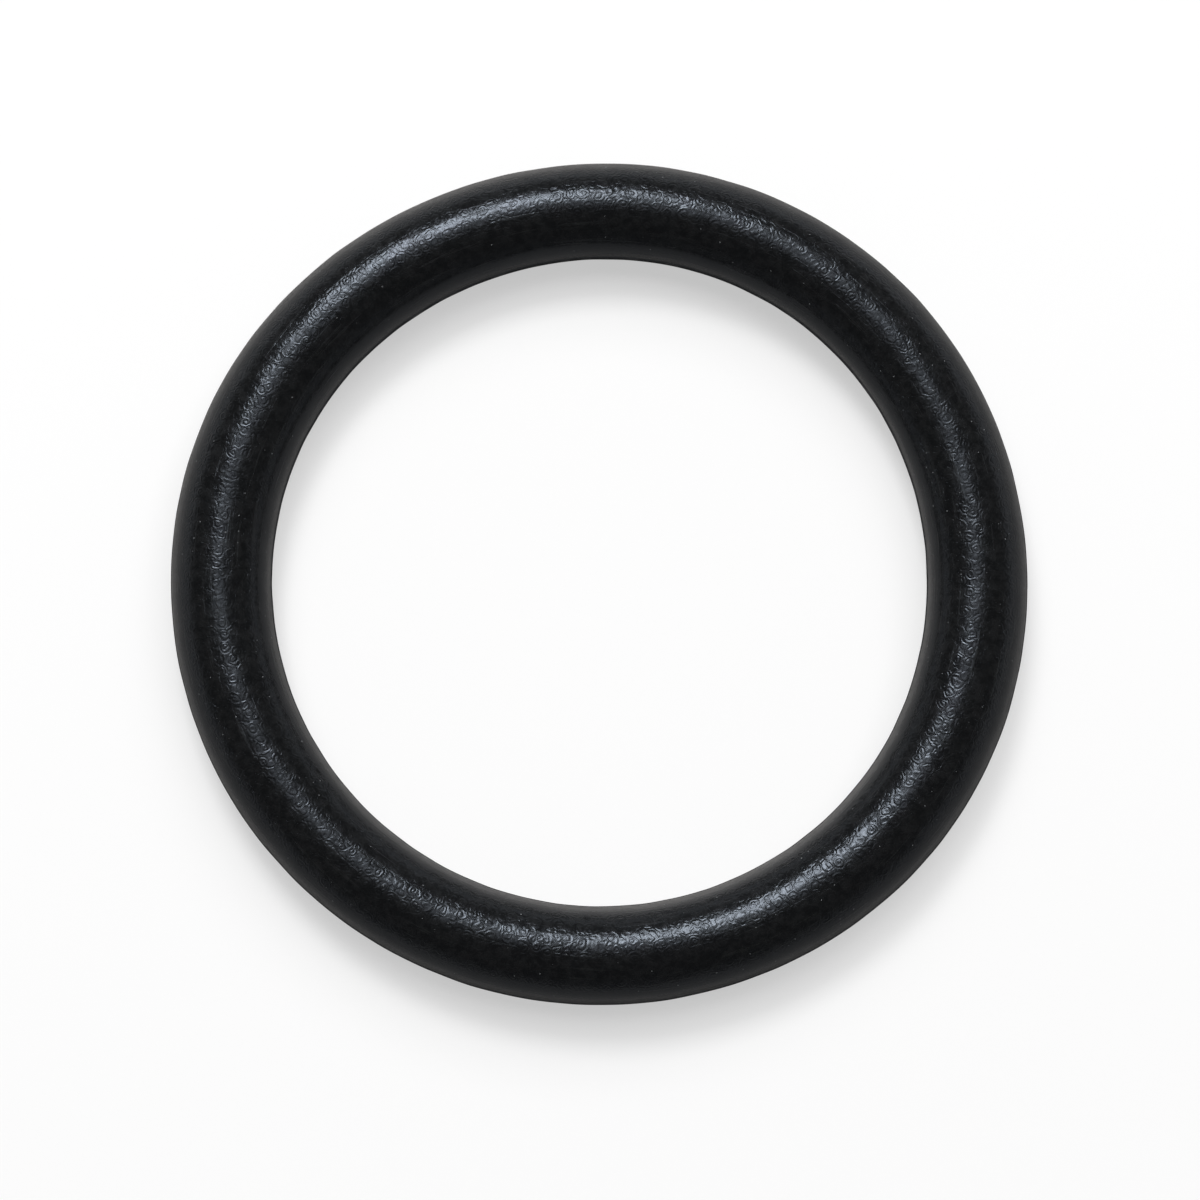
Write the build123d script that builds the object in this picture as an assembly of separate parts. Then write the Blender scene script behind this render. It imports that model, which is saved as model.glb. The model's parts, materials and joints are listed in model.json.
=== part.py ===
from build123d import *

import os
from math import sqrt

# An O-ring seal: one closed ring of solid rubber with a round section, moulded in one piece.
# The ring's axis is Z. The origin is the ring's centre, in the plane that halves the section,
# so the ring lies flat on the circle where its section is lowest. Every size is in millimetres.

INSIDE_DIAMETER = 23.39  # across the hole, between the round faces of the section
SECTION_DIAMETER = 3.53  # thickness of the round section

# The two mould halves meet at the middle of the section's height. The flash is trimmed off there,
# which leaves one narrow raised band around the hole and one around the outside.
TRIM_BAND_WIDTH = 0.16  # height of the band's flat, along Z
TRIM_BAND_RISE = 0.03  # how far the flat stands out from the round section
TRIM_BAND_FLANK = 0.05  # what each sloping flank adds above and below the flat

SECTION_RADIUS = SECTION_DIAMETER / 2
MEAN_RADIUS = INSIDE_DIAMETER / 2 + SECTION_RADIUS  # ring's axis to the middle of the section
FLANK_TOP = TRIM_BAND_WIDTH / 2 + TRIM_BAND_FLANK  # height at which a flank meets the round section


def trim_band(side):
    """The three straight edges of one band, from top to bottom: side is 1 outside, -1 at the hole."""
    root = MEAN_RADIUS + side * sqrt(SECTION_RADIUS**2 - FLANK_TOP**2)
    flat = MEAN_RADIUS + side * (SECTION_RADIUS + TRIM_BAND_RISE)
    half_width = TRIM_BAND_WIDTH / 2
    return Polyline((root, FLANK_TOP), (flat, half_width), (flat, -half_width), (root, -FLANK_TOP))


def ring_section():
    """The round section with its two trim bands, in the plane through the ring's axis."""
    with BuildSketch(Plane.XZ) as section:
        with BuildLine():
            outer = trim_band(1)
            inner = trim_band(-1)
            ThreePointArc(outer @ 0, (MEAN_RADIUS, SECTION_RADIUS), inner @ 0)
            ThreePointArc(outer @ 1, (MEAN_RADIUS, -SECTION_RADIUS), inner @ 1)
        make_face()
    return section.sketch


def o_ring():
    """The whole seal: its section turned once around Z."""
    return revolve(ring_section(), Axis.Z)


os.makedirs("parts", exist_ok=True)
export_step(o_ring(), "parts/o_ring.step")
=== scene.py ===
import json
from math import cos, pi, radians, sin

import bpy
import numpy as np
from mathutils import Matrix, Vector


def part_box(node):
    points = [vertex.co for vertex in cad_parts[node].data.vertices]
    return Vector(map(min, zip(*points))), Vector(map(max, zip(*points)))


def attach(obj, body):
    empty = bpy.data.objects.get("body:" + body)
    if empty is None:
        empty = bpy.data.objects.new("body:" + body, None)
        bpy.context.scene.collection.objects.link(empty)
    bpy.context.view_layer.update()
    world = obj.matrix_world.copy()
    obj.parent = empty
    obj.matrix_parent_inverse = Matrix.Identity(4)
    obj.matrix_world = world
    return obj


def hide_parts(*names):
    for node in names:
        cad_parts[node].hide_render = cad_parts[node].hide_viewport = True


# A black rubber O-ring on a white studio floor. Lengths are in metres, as Blender's are, unless
# a comment says otherwise: the rubber's patterns are written in millimetres.

MM = 0.001

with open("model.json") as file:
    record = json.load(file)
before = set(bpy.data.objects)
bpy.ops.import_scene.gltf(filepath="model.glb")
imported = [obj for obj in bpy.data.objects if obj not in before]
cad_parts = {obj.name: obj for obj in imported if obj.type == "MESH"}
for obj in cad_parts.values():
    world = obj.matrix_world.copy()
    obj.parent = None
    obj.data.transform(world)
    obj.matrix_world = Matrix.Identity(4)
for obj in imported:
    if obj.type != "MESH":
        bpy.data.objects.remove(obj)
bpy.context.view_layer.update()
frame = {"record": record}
RING_LOW, RING_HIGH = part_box("o_ring")
BORE, PIN = (
    next(m["dims"] for m in frame["record"]["mounts"] if m["name"] == name)
    for name in ("inside_diameter", "outside_diameter")
)

# The ring's own sizes. All but the flank's come from the frame.
SECTION_RADIUS = (RING_HIGH.z - RING_LOW.z) / 2
MEAN_RADIUS = (BORE["r_mm"] + PIN["r_mm"]) * MM / 2
BAND_RISE = (PIN["r_mm"] - BORE["r_mm"]) * MM / 2 - SECTION_RADIUS
BAND_WIDTH = PIN["length_mm"] * MM
BAND_FLANK = 0.05 * MM
FLOOR_Z = RING_LOW.z


# ---------------------------------------------------------------- ring mesh

STEPS_AROUND = 870  # quads along the ring
STEPS_ACROSS = 106  # quads over the round part of the section; the two bands add three each
UV_STRIPS = 3  # the ring is unrolled into this many strips, stacked in the UV square
UV_GAP = 0.008

# A free rubber ring is never quite round: (waves around the ring, height, phase in degrees).
OUT_OF_ROUND = ((3, 0.034 * MM, 169), (4, 0.025 * MM, 224), (6, 0.007 * MM, 166))
# The section's radius is a little small, and varies around the ring, in the same terms.
THINNER = 0.023 * MM
THICKNESS = ((1, 0.014 * MM, 124), (2, 0.026 * MM, 348), (4, 0.008 * MM, 214))
# Slow unevenness of the moulded surface: (waves around, waves across, height, phase in degrees).
UNEVEN = (
    (17, 2, 0.0030 * MM, 20),
    (29, -3, 0.0024 * MM, 130),
    (41, 1, 0.0022 * MM, 250),
    (53, 4, 0.0016 * MM, 75),
    (67, -5, 0.0012 * MM, 300),
)


def section_outline():
    """The section's points, once round from the lowest one: (outward, up) from its middle."""
    half = BAND_WIDTH / 2
    root_angle = np.arcsin((half + BAND_FLANK) / SECTION_RADIUS)
    flat = SECTION_RADIUS + BAND_RISE
    per_half = STEPS_ACROSS // 2
    lower_outer = np.linspace(-pi / 2, -root_angle, per_half // 2 + 1)
    upper = np.linspace(root_angle, pi - root_angle, per_half + 1)
    lower_inner = np.linspace(-pi + root_angle, -pi / 2, per_half // 2 + 1)[:-1]
    arcs = [np.c_[np.cos(a), np.sin(a)] * SECTION_RADIUS for a in (lower_outer, upper, lower_inner)]
    outer_band = np.array([(flat, -half), (flat, half)])
    inner_band = np.array([(-flat, half), (-flat, -half)])
    return np.vstack([arcs[0], outer_band, arcs[1], inner_band, arcs[2]])


def ring_points(outline):
    """Every vertex of the ring, as an array of rings by section points."""
    around = np.linspace(0, 2 * pi, STEPS_AROUND, endpoint=False)[:, None]
    across = np.arctan2(outline[:, 1], outline[:, 0])[None, :]
    mean = MEAN_RADIUS + sum(h * np.cos(n * around - radians(p)) for n, h, p in OUT_OF_ROUND)
    swell = sum(h * np.cos(n * around + m * across - radians(p)) for n, m, h, p in UNEVEN)
    swell = swell - THINNER + sum(h * np.cos(n * around - radians(p)) for n, h, p in THICKNESS)
    # all of it fades out from mid height down to the lowest point, so the ring stays on the floor
    swell = swell * np.clip(np.sin(across) + 1, 0, 1)
    grow = 1 + swell / SECTION_RADIUS
    radius = mean + outline[None, :, 0] * grow
    height = outline[None, :, 1] * grow
    return np.stack([radius * np.cos(around), radius * np.sin(around), height], -1)


def grid(rings, columns):
    """The ring and column number of each quad's first corner."""
    return np.meshgrid(np.arange(rings), np.arange(columns), indexing="ij")


def unrolled_uv(outline):
    """UV of each quad's four corners: strips of equal length, one above the other."""
    step = np.linalg.norm(np.roll(outline, -1, 0) - outline, axis=1)
    girth = np.r_[0, np.cumsum(step)] / step.sum()
    per_strip = STEPS_AROUND // UV_STRIPS
    i, j = grid(STEPS_AROUND, len(outline))
    strip = np.minimum(i // per_strip, UV_STRIPS - 1)
    corners = []
    for di, dj in ((0, 0), (1, 0), (1, 1), (0, 1)):
        u = (i + di - strip * per_strip) / per_strip
        v = girth[j + dj]
        u = UV_GAP + u * (1 - 2 * UV_GAP)
        v = (strip + UV_GAP + v * (1 - 2 * UV_GAP)) / UV_STRIPS
        corners.append(np.stack([u, v], -1))
    return np.stack(corners, 2).reshape(-1, 2)


def make_ring():
    """The ring as one closed mesh of quads, smooth shaded, with its UV map."""
    outline = section_outline()
    points = ring_points(outline)
    rings, columns = points.shape[:2]
    i, j = grid(rings, columns)
    next_i, next_j = (i + 1) % rings, (j + 1) % columns
    corners = ((i, j), (next_i, j), (next_i, next_j), (i, next_j))
    faces = np.stack([a * columns + b for a, b in corners], -1).reshape(-1, 4)
    mesh = bpy.data.meshes.new("o_ring_rubber")
    mesh.from_pydata(points.reshape(-1, 3).tolist(), [], faces.tolist())
    layer = mesh.uv_layers.new(name="OFBake")
    layer.data.foreach_set("uv", unrolled_uv(outline).astype(np.float32).ravel())
    mesh.polygons.foreach_set("use_smooth", np.ones(len(faces), bool))
    mesh.validate()
    ring = bpy.data.objects.new("o_ring_rubber", mesh)
    bpy.context.scene.collection.objects.link(ring)
    return ring


# ---------------------------------------------------------------- node helpers


class Nodes:
    """A short way to write the node tree of a material or a world."""

    def __init__(self, owner):
        owner.use_nodes = True
        self.tree = owner.node_tree
        self.tree.nodes.clear()

    def add(self, kind, values=None, **settings):
        """A new node. settings are its properties, and values its inputs: numbers, colours or sockets."""
        node = self.tree.nodes.new("ShaderNode" + kind)
        for key, value in settings.items():
            setattr(node, key, value)
        for key, value in (values or {}).items():
            if isinstance(value, bpy.types.NodeSocket):
                self.tree.links.new(value, node.inputs[key])
            else:
                node.inputs[key].default_value = value
        return node

    def math(self, operation, a, b=0.0):
        return self.add("Math", {0: a, 1: b}, operation=operation).outputs[0]

    def vector(self, operation, a, b=(0, 0, 0)):
        node = self.add("VectorMath", {0: a, 1: b}, operation=operation)
        return node.outputs["Value" if operation == "LENGTH" else "Vector"]

    def scaled(self, vector, by):
        return self.add("VectorMath", {0: vector, "Scale": by}, operation="SCALE").outputs["Vector"]

    def noise(self, place, scale, detail=2.0, roughness=0.5, w=None, output="Fac"):
        values = {"Vector": place, "Scale": scale, "Detail": detail, "Roughness": roughness}
        if w is None:
            return self.add("TexNoise", values).outputs[output]
        return self.add("TexNoise", {**values, "W": w}, noise_dimensions="4D").outputs[output]

    def spread(self, value, low, high, to_low=0.0, to_high=1.0, shape="SMOOTHSTEP"):
        """value from low..high to to_low..to_high, held at the ends, with soft shoulders."""
        values = {"Value": value, "From Min": low, "From Max": high, "To Min": to_low, "To Max": to_high}
        return self.add("MapRange", values, interpolation_type=shape).outputs["Result"]

    def blend(self, share, a, b):
        """A colour between a and b."""
        return self.add("Mix", {0: share, 6: a, 7: b}, data_type="RGBA").outputs[2]

    def mix(self, share, a, b):
        """A shader between a and b."""
        return self.add("MixShader", {0: share, 1: a, 2: b}).outputs[0]

    def is_camera_ray(self):
        return self.add("LightPath").outputs["Is Camera Ray"]


# ---------------------------------------------------------------- rubber

RUBBER_DARK = (0.0040, 0.0040, 0.0040, 1)
RUBBER_LIGHT = (0.0086, 0.0086, 0.0086, 1)
RUBBER_SCUFFED = (0.020, 0.020, 0.0195, 1)
SCUFFING = 0.3  # how much of the scuffed colour a scratch has
SPECK_COLOUR = (0.14, 0.145, 0.15, 1)
COOL_TINT = (0.77, 0.865, 1.0, 1)

# Texture scales, per millimetre.
CURL_CELLS = 2.9
CURL_WARP_FINENESS = 3.4
PATCH_FINENESS = 0.9
GRAIN_FINENESS = 16.0
MOTTLE_FINENESS = 3.2
STREAK_FINENESS = 7.0
SPECK_CELLS = 4.4
TEAR_FINENESS = 1.3

CURL_WARP = 0.22  # how far the cells of the curls are pushed about, in mm
CURL_WAVES = 18.5  # radians of wave per cell's width
CURL_SHADE = 0.05  # how much the curls show in the colour
CURLS_WITHIN = (1.15, 1.5)  # mm out from the section's middle: the curls fade between these
CURLS_BEYOND = 0.12  # what is left of them further out
STREAK_STRETCH = 0.055  # the scratches' fineness along the ring, as a share of that across it
SPECK_RARITY = 0.60  # share of the speck cells that stay empty
SPECK_SIZE = 0.115  # the largest speck's radius, in cells
TORN_WITHIN = (0.08, 0.14)  # mm from mid height: the torn rubber fades between these

# Heights of the relief, in mm.
CURL_HEIGHT = 0.0027
GRAIN_HEIGHT = 0.0012
MOTTLE_HEIGHT = 0.004
STREAK_HEIGHT = 0.0028
SPECK_HEIGHT = 0.006

ROUGH_LEAST = 0.21
ROUGH_MOST = 0.27
STREAK_ROUGHER = 0.08
SHALLOW_ROUGHER = 0.19
TORN_ROUGHER = 0.35


def places_on_ring(n):
    """Sockets for a surface point in mm: its place, the way it lies around, its depth and height."""
    place = n.scaled(n.add("TexCoord").outputs["Object"], 1 / MM)
    parts = n.add("SeparateXYZ", {0: place}).outputs
    flat = n.add("CombineXYZ", {0: parts[0], 1: parts[1]}).outputs[0]
    outward = n.math("SUBTRACT", n.vector("LENGTH", flat), MEAN_RADIUS / MM)
    return place, n.vector("NORMALIZE", flat), outward, parts[2]


def curls(n, place):
    """Small scrolls, side by side: rings about the middles of warped cells. Runs from -1 to 1."""
    warp = n.noise(place, CURL_WARP_FINENESS, detail=1.0, output="Color")
    warp = n.vector("SUBTRACT", warp, (0.5, 0.5, 0.5))
    bent = n.vector("ADD", place, n.scaled(warp, CURL_WARP))
    cells = n.add("TexVoronoi", {"Vector": bent, "Scale": CURL_CELLS})
    chance = n.add("SeparateColor", {0: cells.outputs["Color"]}).outputs[1]
    waves = n.math("MULTIPLY", cells.outputs["Distance"], CURL_WAVES)
    return n.math("SINE", n.math("ADD", waves, n.math("MULTIPLY", chance, 2 * pi)))


def streaks(n, around, outward, height):
    """Fine scratches that run around the ring."""
    lie = n.scaled(around, MEAN_RADIUS / MM * STREAK_STRETCH)
    depth = n.add("CombineXYZ", {2: outward}).outputs[0]
    place = n.vector("ADD", lie, depth)
    return n.spread(n.noise(place, STREAK_FINENESS, 2.5, 0.6, w=height), 0.56, 0.70)


def specks(n, place):
    """Specks of dust: 1 inside them and 0 elsewhere."""
    cells = n.add("TexVoronoi", {"Vector": place, "Scale": SPECK_CELLS})
    pick = n.add("SeparateColor", {0: cells.outputs["Color"]}).outputs[0]
    size = n.spread(pick, SPECK_RARITY, 1.0, 0.0, SPECK_SIZE)
    return n.math("LESS_THAN", cells.outputs["Distance"], size)


def make_rubber():
    """The rubber's material, from patterns in the object's own coordinates."""
    material = bpy.data.materials.new("black_rubber")
    n = Nodes(material)
    place, around, outward, height = places_on_ring(n)

    curl = curls(n, place)
    patch = n.spread(n.noise(place, PATCH_FINENESS), 0.38, 0.62, 0.65, 1.0)
    aside = n.math("ABSOLUTE", outward)
    patch = n.math("MULTIPLY", patch, n.spread(aside, *CURLS_WITHIN, 1.0, CURLS_BEYOND))
    grain = n.noise(place, GRAIN_FINENESS, 2.0, 0.6)
    mottle = n.noise(place, MOTTLE_FINENESS, 3.0, 0.6)
    streak = streaks(n, around, outward, height)
    speck = specks(n, place)

    shade = n.spread(n.math("ADD", mottle, n.math("MULTIPLY", curl, CURL_SHADE)), 0.35, 0.68)
    colour = n.blend(shade, RUBBER_DARK, RUBBER_LIGHT)
    colour = n.blend(n.math("MULTIPLY", streak, SCUFFING), colour, RUBBER_SCUFFED)
    colour = n.blend(speck, colour, SPECK_COLOUR)

    rough = n.spread(mottle, 0.3, 0.7, ROUGH_LEAST, ROUGH_MOST)
    rough = n.math("ADD", rough, n.math("MULTIPLY", streak, STREAK_ROUGHER))
    # rougher where it is seen at a shallow angle, which keeps the rims an even grey
    facing = n.add("LayerWeight", {"Blend": 0.5}).outputs["Facing"]
    rough = n.math("ADD", rough, n.spread(facing, 0.5, 0.82, 0.0, SHALLOW_ROUGHER))
    # the trimmed band and its edges are torn rubber, which is matt
    torn = n.spread(n.math("ABSOLUTE", height), *TORN_WITHIN, 1.0, 0.0)
    torn = n.math("MULTIPLY", torn, n.spread(n.noise(place, TEAR_FINENESS), 0.36, 0.50, 0.35, 1.0))
    rough = n.math("ADD", rough, n.math("MULTIPLY", torn, TORN_ROUGHER))

    relief = n.math("MULTIPLY", n.math("MULTIPLY", curl, patch), CURL_HEIGHT)
    heights = ((grain, GRAIN_HEIGHT), (mottle, MOTTLE_HEIGHT), (streak, STREAK_HEIGHT), (speck, SPECK_HEIGHT))
    for pattern, tall in heights:
        relief = n.math("ADD", relief, n.math("MULTIPLY", pattern, tall))
    bump = n.add("Bump", {"Height": relief, "Distance": MM, "Strength": 1.0})

    look = {
        "Base Color": colour,
        "Roughness": rough,
        "Normal": bump.outputs[0],
        "IOR": 1.5,
        "Specular IOR Level": 0.5,
        "Specular Tint": COOL_TINT,
    }
    n.add("OutputMaterial", {"Surface": n.add("BsdfPrincipled", look).outputs[0]})
    return material


# ---------------------------------------------------------------- studio

FLOOR_REACH = 0.6
FLOOR_WHITE = (0.95, 0.95, 0.95, 1)
FLOOR_GREY = (0.47, 0.46, 0.45, 1)  # under the sheen, for all rays but the camera's
FLOOR_SHEEN = 0.55
FLOOR_SHEEN_COLOUR = (1.0, 0.965, 0.935, 1)
FLOOR_ROUGHNESS = 0.6
SHADOW_SHARE = 0.48  # the lit floor's share of what the camera sees near the ring; the rest is white
CLEAR_FROM = 0.045  # beyond this distance from the ring's axis the floor turns to plain white
CLEAR_TO = 0.16


def make_floor():
    """A white floor that keeps the ring's shadow and is plain white further out."""
    mesh = bpy.data.meshes.new("floor")
    r = FLOOR_REACH
    mesh.from_pydata([(-r, -r, 0), (r, -r, 0), (r, r, 0), (-r, r, 0)], [], [(0, 1, 2, 3)])
    floor = bpy.data.objects.new("floor", mesh)
    floor.location.z = FLOOR_Z
    bpy.context.scene.collection.objects.link(floor)
    material = bpy.data.materials.new("floor_white")
    n = Nodes(material)
    place = n.add("TexCoord").outputs["Object"]
    share = n.spread(n.vector("LENGTH", place), CLEAR_FROM, CLEAR_TO, 1 - SHADOW_SHARE, 1.0)
    matt = n.add("BsdfDiffuse", {"Color": FLOOR_WHITE}).outputs[0]
    white = n.add("Emission", {"Strength": 1.0}).outputs[0]
    grey = n.add("BsdfDiffuse", {"Color": FLOOR_GREY}).outputs[0]
    sheen = n.add("BsdfGlossy", {"Color": FLOOR_SHEEN_COLOUR, "Roughness": FLOOR_ROUGHNESS}).outputs[0]
    mirrored = n.mix(FLOOR_SHEEN, grey, sheen)
    seen = n.mix(share, matt, white)
    n.add("OutputMaterial", {"Surface": n.mix(n.is_camera_ray(), mirrored, seen)})
    mesh.materials.append(material)


ROOM_GREY = (0.8, 0.8, 0.8, 1)
HORIZON_NEAR = 0.17  # the room's light at eye level, on the camera's side and opposite it
HORIZON_FAR = 0.95
HORIZON_RISE = 0.45  # sine of the height at which it has faded to the light from overhead
OVERHEAD = 0.09


def make_world():
    """White to the camera, and a dim room around the object: dark overhead, paler at the horizon."""
    world = bpy.data.worlds.new("studio")
    n = Nodes(world)
    way = n.add("SeparateXYZ", {0: n.add("TexCoord").outputs["Generated"]}).outputs
    horizon = n.spread(way[1], -1.0, 1.0, HORIZON_NEAR, HORIZON_FAR, shape="LINEAR")
    strength = n.spread(way[2], 0.0, HORIZON_RISE, horizon, OVERHEAD)
    dim = n.add("Background", {"Color": ROOM_GREY, "Strength": strength}).outputs[0]
    white = n.add("Background", {"Color": (1, 1, 1, 1), "Strength": 1.0}).outputs[0]
    n.add("OutputWorld", {"Surface": n.mix(n.is_camera_ray(), dim, white)})
    bpy.context.scene.world = world


def make_lamp(name, tilt, turn, distance, wide, tall, light, mirrored=True):
    """A soft box aimed at the ring's centre. tilt is from straight up and turn from +Y towards -X,
    in degrees; wide and tall are angles seen from the ring. light is what the floor gets from it, where 1
    makes a white floor render white. A lamp that isn't mirrored stays out of glossy reflections."""
    t, a = radians(tilt), radians(turn)
    way = Vector((-sin(t) * sin(a), sin(t) * cos(a), cos(t)))
    data = bpy.data.lights.new(name, "AREA")
    data.shape = "RECTANGLE"
    data.size = 2 * distance * np.tan(radians(wide) / 2)
    data.size_y = 2 * distance * np.tan(radians(tall) / 2)
    # a flat lamp's watts spread over a half sphere, so at distance d its axis gets power / (pi d^2)
    data.energy = light * pi * pi * distance**2 / cos(t)
    lamp = bpy.data.objects.new(name, data)
    lamp.location = way * distance
    lamp.rotation_euler = way.to_track_quat("Z", "Y").to_euler()
    lamp.visible_glossy = mirrored
    bpy.context.scene.collection.objects.link(lamp)


CAMERA_TILT = 10.32  # from straight above, towards -Y, in degrees
CAMERA_TURN = 2.3  # from -Y towards +X, in degrees
CAMERA_DISTANCE = 11.8 * MEAN_RADIUS
FRAME_WIDTH = 3.171 * MEAN_RADIUS  # what the picture's width covers at the ring's centre
AIM_BELOW = 0.0595 * MEAN_RADIUS  # the view is centred this far from the ring's centre, towards -Y
SENSOR = 36.0  # in mm, as is the lens
CLIP_START = 0.01


def make_camera():
    """The photograph's view. Its upright lines up with +Y."""
    t, a = radians(CAMERA_TILT), radians(CAMERA_TURN)
    way = Vector((sin(t) * sin(a), -sin(t) * cos(a), cos(t)))
    data = bpy.data.cameras.new("camera")
    data.sensor_width = SENSOR
    data.lens = SENSOR * CAMERA_DISTANCE / FRAME_WIDTH
    data.clip_start = CLIP_START
    camera = bpy.data.objects.new("camera", data)
    camera.location = way * CAMERA_DISTANCE
    back = (camera.location - Vector((0, -AIM_BELOW, 0))).normalized()
    right = Vector((0, 1, 0)).cross(back).normalized()
    camera.rotation_euler = Matrix((right, back.cross(right), back)).transposed().to_euler()
    bpy.context.scene.collection.objects.link(camera)
    bpy.context.scene.camera = camera


ring = make_ring()
ring.data.materials.append(make_rubber())
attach(ring, "root")
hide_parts("o_ring")

make_floor()
make_world()
make_lamp("key", tilt=31.5, turn=15, distance=0.4, wide=17, tall=14, light=0.345)
make_lamp("top", tilt=15, turn=12, distance=0.4, wide=22, tall=20, light=0.042)
make_lamp("fill", tilt=27, turn=-9, distance=0.8, wide=58, tall=52, light=0.77, mirrored=False)
make_camera()

bpy.context.scene.view_settings.view_transform = "Standard"
